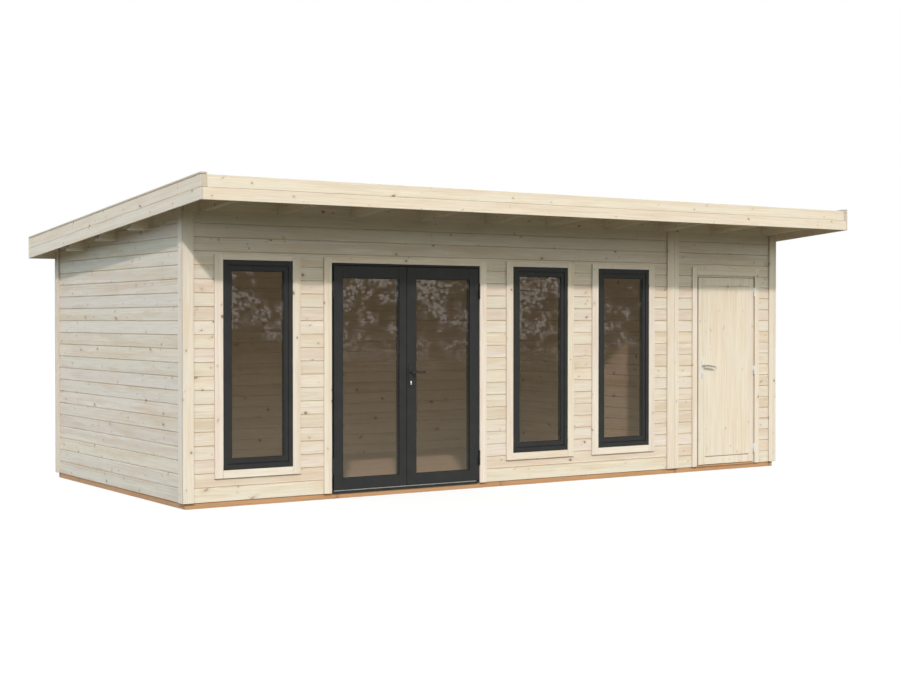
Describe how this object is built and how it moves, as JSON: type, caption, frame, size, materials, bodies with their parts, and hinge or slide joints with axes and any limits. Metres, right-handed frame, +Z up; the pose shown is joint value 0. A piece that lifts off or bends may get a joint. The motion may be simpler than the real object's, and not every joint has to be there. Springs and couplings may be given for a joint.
{
  "type": "garden house",
  "caption": "Plank-built garden house with a shallow pent roof, glazed double door, tall fixed windows and a separate store room behind a board door.",
  "frame": {"origin": "on the ground at the centre of the roof's outline in plan", "axes": "+X along the front to the right as seen from outside, +Y from the front to the back, +Z up"},
  "size_m": [7.12, 4.09, 2.6681],
  "materials": {
    "spruce": "matt",
    "spruce_boards": "matt",
    "impregnated_wood": "matt",
    "anthracite_wood": "satin",
    "tinted_glass": "polished",
    "felt": "matt",
    "aluminium": "brushed",
    "black_metal": "satin",
    "steel": "satin"
  },
  "bodies": {
    "house": {"base_front_beam": "impregnated_wood", "base_back_beam": "impregnated_wood", "base_end_beams": "impregnated_wood", "floor_joists": "impregnated_wood", "floor_boards": "spruce_boards", "front_wall_left": "spruce", "front_wall_over_double_door": "spruce", "front_wall_middle": "spruce", "front_wall_over_store_door": "spruce", "front_wall_right": "spruce", "eaves_blocks": "spruce", "back_wall": "spruce", "left_wall": "spruce", "right_wall": "spruce", "partition_wall": "spruce", "front_left_corner_trim": "spruce_boards", "back_left_corner_trim": "spruce_boards", "front_right_corner_trim": "spruce_boards", "back_right_corner_trim": "spruce_boards", "partition_cover_boards": "spruce_boards", "window_frames": "anthracite_wood", "window_sashes": "anthracite_wood", "window_glass": "tinted_glass", "window_casings": "spruce_boards", "double_door_frame": "anthracite_wood", "double_door_threshold": "anthracite_wood", "double_door_threshold_strip": "aluminium", "double_door_casing": "spruce_boards", "double_door_frame_hinges": "black_metal", "store_door_frame": "spruce_boards", "store_door_threshold": "impregnated_wood", "store_door_casing": "spruce_boards", "store_door_frame_hinges": "steel", "roof_purlins": "spruce", "overhang_joists": "spruce", "front_edge_rail": "spruce", "verge_battens": "spruce_boards", "roof_deck": "spruce_boards", "roofing_felt": "felt", "front_fascia": "spruce_boards", "back_fascia": "spruce_boards", "left_fascia": "spruce_boards", "right_fascia": "spruce_boards", "verge_caps": "spruce_boards"},
    "left_door": {"left_leaf": "anthracite_wood", "left_leaf_glass": "tinted_glass", "left_leaf_hinges": "black_metal"},
    "right_door": {"right_leaf": "anthracite_wood", "right_leaf_glass": "tinted_glass", "right_leaf_hinges": "black_metal", "right_leaf_lock_plates": "black_metal"},
    "right_door_lever": {"right_leaf_lever": "black_metal"},
    "store_door": {"store_door_leaf": "spruce_boards", "store_door_panel": "spruce_boards", "store_door_leaf_hinges": "steel", "store_door_lock_plates": "steel"},
    "store_lever": {"store_door_lever": "steel"}
  },
  "joints": [
    {"name": "left_door_hinge", "type": "hinge", "parent": "house", "child": "left_door", "pos_m": [-1.978, -1.25, 1.0435], "axis": [0, 0, -1], "range_deg": [0, 160]},
    {"name": "right_door_hinge", "type": "hinge", "parent": "house", "child": "right_door", "pos_m": [-0.447, -1.25, 1.0435], "axis": [0, 0, 1], "range_deg": [0, 160]},
    {"name": "right_door_lever_turn", "type": "hinge", "parent": "right_door", "child": "right_door_lever", "pos_m": [-1.187, -1.214, 1.078], "axis": [0, 1, 0], "range_deg": [0, 35], "stiffness_Nm_per_rad": 1.5, "springref_deg": -28.65},
    {"name": "store_door_hinge", "type": "hinge", "parent": "house", "child": "store_door", "pos_m": [3.046, -1.25, 1.021], "axis": [0, 0, 1], "range_deg": [0, 160]},
    {"name": "store_door_lever_turn", "type": "hinge", "parent": "store_door", "child": "store_lever", "pos_m": [2.322, -1.214, 1.078], "axis": [0, 1, 0], "range_deg": [0, 35], "stiffness_Nm_per_rad": 1.5, "springref_deg": -28.65}
  ]
}
